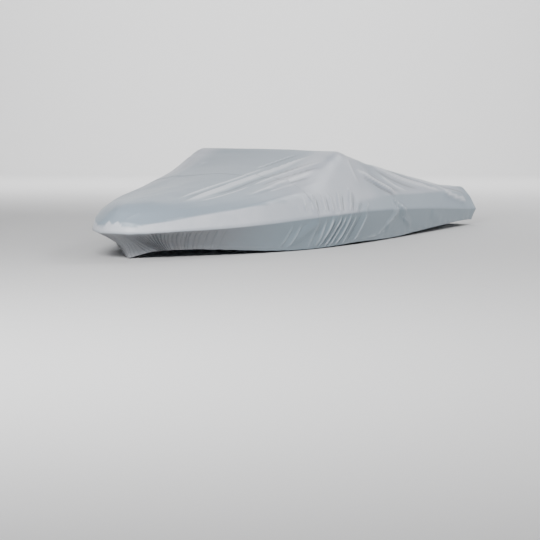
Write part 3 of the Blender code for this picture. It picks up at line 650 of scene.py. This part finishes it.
def coatedCloth(name, look):
    # coated, woven cloth: a colour with fading and grime, and with painted light and shade mixed in by place
    # (lit bands and facets, shaded skirt and bow, highlights on crests and shade in hollows); stitches and
    # weave as relief
    shading = Shading(bpy.data.materials.new(name))
    surface = shading.surface
    objectPlace = shading.node("ShaderNodeTexCoord").outputs["Object"]
    clothPlace = shading.node("ShaderNodeUVMap", {"uv_map": "cloth"}).outputs["UV"]
    parts = shading.node("ShaderNodeSeparateXYZ", None, {0: clothPlace})
    run, across = Value(shading, parts.outputs[0]), Value(shading, parts.outputs[1])
    crest, toHem, toSeam = map(shading.attribute, ("crest", "toHem", "toSeam"))
    bowBandLight, underBowShade, skirt, facetLight = map(shading.attribute, ("bowBandLight", "underBowShade", "skirt", "facetLight"))
    clouds = shading.noise(objectPlace, *look["clouds"])
    blotches = shading.noise(objectPlace, *look["blotches"])
    grain = shading.noise(objectPlace, *look["grain"])

    # stitches: dashes in narrow lines at set distances from the seam and the hem, with puckers along them
    dashAcross = (across / look["stitch"]) % 1.0 < look["stitchFill"]
    dashAlong = (run / look["stitch"]) % 1.0 < look["stitchFill"]
    seamLines = sum(abs(toSeam - row) < look["stitchWidth"] for row in look["seamRows"])
    hemLine = abs(toHem - look["hemRow"]) < look["stitchWidth"]
    stitches = (seamLines * dashAcross + hemLine * dashAlong).clamped()
    reach, length = look["seamPucker"]
    seamPucker = (1 - abs(toSeam) / reach).clamped() * (across * (2 * math.pi / length)).sine()
    reach, length = look["hemPucker"]
    hemPucker = (1 - abs(toHem - look["hemRow"]) / reach).clamped() * (run * (2 * math.pi / length)).sine()

    # weave: crossed sines, a thread apart in both directions
    turn = 2 * math.pi / look["weave"]
    weave = (run * turn).sine() * (across * turn).sine()

    # how far each layer of colour covers those before it
    fading = (clouds - look["fadedFrom"]) * look["fadedClouds"] + (blotches - 0.5) * look["fadedBlotches"]
    low = (1 - toHem / look["grimeReach"]).clamped()
    dust = look["grimeLeast"] + look["grimeBlotches"] * (blotches - look["grimeFrom"])
    grime = (low * low * dust - crest * look["grimeCrestLess"]).clamped() * look["grimeShare"]
    facetLightCover = (facetLight * (1 + (clouds - 0.5) * look["facetLightClouds"])).clamped()
    paintedLight = (bowBandLight * (look["bowBandLightShare"] + (blotches - 0.5) * look["bowBandLightBlotches"])).clamped()
    underBowShadeCover = (underBowShade * (look["underBowShadeShare"] + (blotches - 0.5) * look["underBowShadeBlotches"])).clamped()
    ridge, hollow = crest.clamped(), (0 - crest).clamped()
    # skirt, facet light, bow band light, under-bow shade, crest highlights and hollow shade are painted light
    # and shade
    layers = (
        (fading.clamped() * look["fadedShare"], "faded"),
        (skirt * look["skirtShadeShare"], "skirt"),
        (facetLightCover * look["facetLightShare"], "facetLight"),
        (paintedLight, "bowBandLight"),
        (underBowShadeCover, "underBowShade"),
        (ridge * ridge * (look["crestHighlightShare"] - skirt * look["skirtCrestLess"]), "pale"),
        (hollow * look["hollowShadeShare"], "dull"),
        (grime, "grime"),
        (stitches * look["threadShare"], "thread"),
    )
    colour = look["colour"]
    for factor, over in layers:
        colour = shading.mixColour(factor, colour, look[over])
    shading.feed(surface.inputs["Base Color"], colour)

    roughness = look["roughness"] + (clouds - 0.5) * look["roughClouds"] + (grain - 0.5) * look["roughGrain"]
    roughness = roughness + grime * look["roughGrime"] - crest * look["smoothCrest"]
    shading.feed(surface.inputs["Roughness"], roughness + stitches * look["roughThread"])
    surface.inputs["Coat Weight"].default_value = look["coat"]
    surface.inputs["Coat Roughness"].default_value = look["coatRoughness"]
    surface.inputs["Specular IOR Level"].default_value = look["specular"]

    relief = weave * look["weaveDepth"] + stitches * look["stitchDepth"]
    relief = relief + (seamPucker + hemPucker) * look["puckerDepth"]
    relief = relief + (blotches - 0.5) * look["blotchDepth"] + (grain - 0.5) * look["grainDepth"]
    bump = shading.node("ShaderNodeBump", None, {"Strength": 1.0, "Distance": 1.0, "Height": relief})
    shading.feed(surface.inputs["Normal"], bump.outputs["Normal"])
    return shading.owner


def clothPiece(name, cut, atBow, material):
    # rows along the rim, columns across, raised by the lap at the main panel's edge; the row that folds onto
    # itself at bow or stern is welded to its other side
    along = spread(cut["spansAlong"])
    nearWeld = along - along[0] if atBow else along[-1] - along
    share = acrossShares(along, cut["spansEven"], cut["spansDense"], cut["stepsBelow"], nearWeld)
    row = np.broadcast_to(along[:, None], share.shape)
    place = leanOver(askew(row, share), row, share)
    point, marks, toHem, paintedLight = clothSurface(place, share, row)
    rows, columns = share.shape
    fromEdge = along - along[-1] - hemLook["lap"] if atBow else along - along[0]
    toSeam = np.broadcast_to(fromEdge[:, None], share.shape)
    if not atBow:
        lap = hemLook["lapRaise"] * (1 - easeIn(toSeam - hemLook["lap"], hemLook["lapStep"]))
        point = point + outward(place, share) * lap[..., None]
    point = point - np.array(coverForm["ridge"])

    steps = np.hypot(*np.moveaxis(np.diff(point[..., 1:], axis=1), -1, 0))
    girth = np.concatenate([np.zeros((rows, 1)), np.cumsum(steps, axis=1)], axis=1)
    girth = girth - np.array([np.interp(0.0, *pair) for pair in zip(share, girth)])[:, None]

    grid = np.arange(rows * columns).reshape(rows, columns)
    corners = np.stack([grid[:-1, :-1], grid[1:, :-1], grid[1:, 1:], grid[:-1, 1:]], -1).reshape(-1, 4)
    weld = grid.copy()
    weldRow = 0 if atBow else rows - 1
    weld[weldRow] = np.maximum(grid[weldRow], grid[weldRow, ::-1])
    used, faces = np.unique(weld.ravel()[corners], return_inverse=True)
    mesh = bpy.data.meshes.new(name)
    mesh.from_pydata(point.reshape(-1, 3)[used].tolist(), [], faces.reshape(-1, 4).tolist())

    below = (np.abs(share).ravel()[corners].min(axis=1) > skirtFrom)[:, None]
    run = np.where(below, place.ravel()[corners], point[..., 0].ravel()[corners])
    coordinates = np.stack([run, girth.ravel()[corners]], -1)
    mesh.uv_layers.new(name="cloth").data.foreach_set("uv", coordinates.ravel().astype(np.float32))
    # crest: painted highlight on crests and painted shade in hollows, from the folds' marks
    facts = {"crest": np.clip(marks / foldLook["crestDepth"], -1, 1), "toHem": toHem, "toSeam": toSeam, **paintedLight}
    for label, values in facts.items():
        stored = mesh.attributes.new(label, "FLOAT", "POINT")
        stored.data.foreach_set("value", values.ravel()[used].astype(np.float32))
    mesh.shade_smooth()
    mesh.materials.append(material)
    mesh.validate()
    piece = bpy.data.objects.new(name, mesh)
    bpy.context.scene.collection.objects.link(piece)
    thick = piece.modifiers.new("thickness", "SOLIDIFY")
    thick.thickness, thick.offset, thick.use_even_offset = sheetThickness, -1.0, False
    widest = round(float(np.ptp(girth, axis=1).max()), 2)
    print(name, "made:", rows, "by", columns, "points, girth up to", widest, "m")
    return piece


seam, lap, lapStep = coverForm["seamAlong"], hemLook["lap"], hemLook["lapStep"]
edge, mainEdge = 0.002, seam - lap         # close rows at each cut edge, and where the main panel starts
bowCut = {              # spans of the mesh: from, to and steps; then the cut's girth and length, and its area
    "spansAlong": ((0.0, 0.06, 34), (0.06, 0.42, 100), (0.42, 0.72, 58), (0.72, 1.10, 44), (1.10, 1.40, 28),
                   (1.40, seam - edge, 50), (seam - edge, seam, 2)),
    "spansEven": ((-1.0, -0.9, 8), (-0.9, -0.5, 20), (-0.5, 0.5, 40), (0.5, 0.9, 20), (0.9, 1.0, 8)),
    "spansDense": ((-1.0, -0.93, 6), (-0.93, -0.66, 14), (-0.66, -0.2, 42), (-0.2, 0.0, 6), (0.0, 0.6, 12),
                   (0.6, 0.9, 10), (0.9, 1.0, 6)),
    "stepsBelow": 15, "flat": (2.7, 2.1), "area": 3.5,
}
mainCut = {
    "spansAlong": ((mainEdge, mainEdge + edge, 2), (mainEdge + edge, seam, 2), (seam, seam + lapStep, 3),
                   (seam + lapStep, 2.85, 184), (2.85, 3.40, 30), (3.40, 3.70, 28), (3.70, 5.0, 50),
                   (5.0, 5.75, 30), (5.75, rimLength, 18)),
    "spansEven": ((-1.0, -0.92, 7), (-0.92, -0.7, 15), (-0.7, 0.7, 54), (0.7, 0.92, 15), (0.92, 1.0, 7)),
    "spansDense": ((-1.0, -0.9, 11), (-0.9, -0.68, 24), (-0.68, -0.2, 28), (-0.2, 0.0, 5), (0.0, 0.6, 11),
                   (0.6, 0.9, 12), (0.9, 1.0, 7)),
    "stepsBelow": 14, "flat": (3.25, 4.1), "area": 11.2,
}
bowCloth = clothPiece("bowCloth", bowCut, True, coatedCloth("coatedClothBow", clothLook))
mainCloth = clothPiece("mainCloth", mainCut, False, coatedCloth("coatedClothMain", clothLook))
for piece, node, slot in ((bowCloth, "bow_panel", "bow_cloth"), (mainCloth, "main_panel", "main_cloth")):
    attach(piece, "root")
    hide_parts(node)
print("panels placed")

# Floor, light and camera
studio = {
    "floorHeight": -0.832, "floorColour": (0.78, 0.78, 0.78, 1.0), "floorRoughness": 0.8,
    "world": (0.20, 0.20, 0.21, 1.0),
    "sweepHalf": 34.0, "sweepFrom": 17.0, "sweepRound": 3.5, "sweepTop": 14.0, "sweepSteps": 24,
    "camera": (-11.295, -6.353, 0.213), "bearing": 29.239, "dip": 5.896, "lens": 92.9, "sensor": 36.0,
    "lampDistance": 9.5, "lampSize": (3.8, 2.2), "lampTarget": (0.0, 0.0, -0.3),
}
softboxes = (   # name, direction from straight aft towards starboard, elevation, watts
    ("bowSoftbox", -165.0, 24.0, 740.0),
    ("portSoftbox", -110.0, 24.0, 100.0),
    ("quarterLowSoftbox", -35.0, 10.0, 65.0),
    ("quarterSoftbox", -35.0, 24.0, 88.0),
    ("quarterHighSoftbox", -35.0, 42.0, 280.0),
    ("sternHighSoftbox", 20.0, 42.0, 88.0),
    ("starboardHighSoftbox", 60.0, 42.0, 70.0),
)
farLamp = {             # lights the backdrop
    "distance": 10.0, "height": 8.0, "aimDistance": 20.0, "aimHeight": 0.4, "size": (20.0, 3.0),
    "watts": 3000.0,
}


def aim(thing, place, target):
    # turned so that its own -Z axis points at the target, with +Y up
    direction = np.array(target) - np.array(place)
    yaw = math.atan2(direction[1], direction[0])
    pitch = math.atan2(direction[2], math.hypot(direction[0], direction[1]))
    thing.location = place
    thing.rotation_euler = (math.pi / 2 + pitch, 0.0, yaw - math.pi / 2)


def hang(name, place, target, size, watts):
    # a rectangular softbox that only shows by its light
    lamp = bpy.data.lights.new(name, "AREA")
    lamp.shape, lamp.energy = "RECTANGLE", watts
    lamp.size, lamp.size_y = size
    holder = bpy.data.objects.new(name, lamp)
    bpy.context.scene.collection.objects.link(holder)
    aim(holder, place, target)
    holder.visible_camera = False


for name, azimuth, elevation, watts in softboxes:
    turn, rise = math.radians(azimuth), math.radians(elevation)
    direction = np.array((math.cos(rise) * math.cos(turn), math.cos(rise) * math.sin(turn), math.sin(rise)))
    place = np.array(studio["lampTarget"]) + direction * studio["lampDistance"]
    hang(name, place, studio["lampTarget"], studio["lampSize"], watts)
bearing = math.radians(studio["bearing"])
away = np.array((math.cos(bearing), math.sin(bearing)))
place = (*away * farLamp["distance"], farLamp["height"])
target = (*away * farLamp["aimDistance"], farLamp["aimHeight"])
hang("farSoftbox", place, target, farLamp["size"], farLamp["watts"])

world = bpy.data.worlds.new("studio")
bpy.context.scene.world = world
Shading(world).surface.inputs["Color"].default_value = studio["world"]

# the floor runs back from the camera, then rises in a quarter circle to an upright backdrop
turns = np.linspace(0, math.pi / 2, studio["sweepSteps"] + 1)
distance = np.concatenate([[-studio["sweepHalf"]], studio["sweepFrom"] + studio["sweepRound"] * np.sin(turns)])
height = np.concatenate([[0.0], studio["sweepRound"] * (1 - np.cos(turns))])
distance, height = np.append(distance, distance[-1]), np.append(height, studio["sweepTop"])
sweep = np.zeros((len(distance), 2, 3))
for side, half in ((0, -studio["sweepHalf"]), (1, studio["sweepHalf"])):
    sweep[:, side, :2] = distance[:, None] * away + half * np.array((-away[1], away[0]))
    sweep[:, side, 2] = height + studio["floorHeight"]
start = 2 * np.arange(len(distance) - 1)[:, None]
floorMesh = bpy.data.meshes.new("studioFloor")
floorMesh.from_pydata(sweep.reshape(-1, 3).tolist(), [], (start + np.array((0, 2, 3, 1))).tolist())
floorMesh.shade_smooth()
floor = bpy.data.objects.new("studioFloor", floorMesh)
bpy.context.scene.collection.objects.link(floor)
floorShading = Shading(bpy.data.materials.new("paleFloor"))
floorShading.surface.inputs["Base Color"].default_value = studio["floorColour"]
floorShading.surface.inputs["Roughness"].default_value = studio["floorRoughness"]
floorMesh.materials.append(floorShading.owner)

cameraData = bpy.data.cameras.new("photoCamera")
cameraData.lens, cameraData.sensor_width = studio["lens"], studio["sensor"]
camera = bpy.data.objects.new("photoCamera", cameraData)
bpy.context.scene.collection.objects.link(camera)
dip = math.radians(studio["dip"])
ahead = np.array((*away * math.cos(dip), -math.sin(dip)))
aim(camera, studio["camera"], np.array(studio["camera"]) + ahead)
bpy.context.scene.camera = camera
print("floor, lights and camera set")
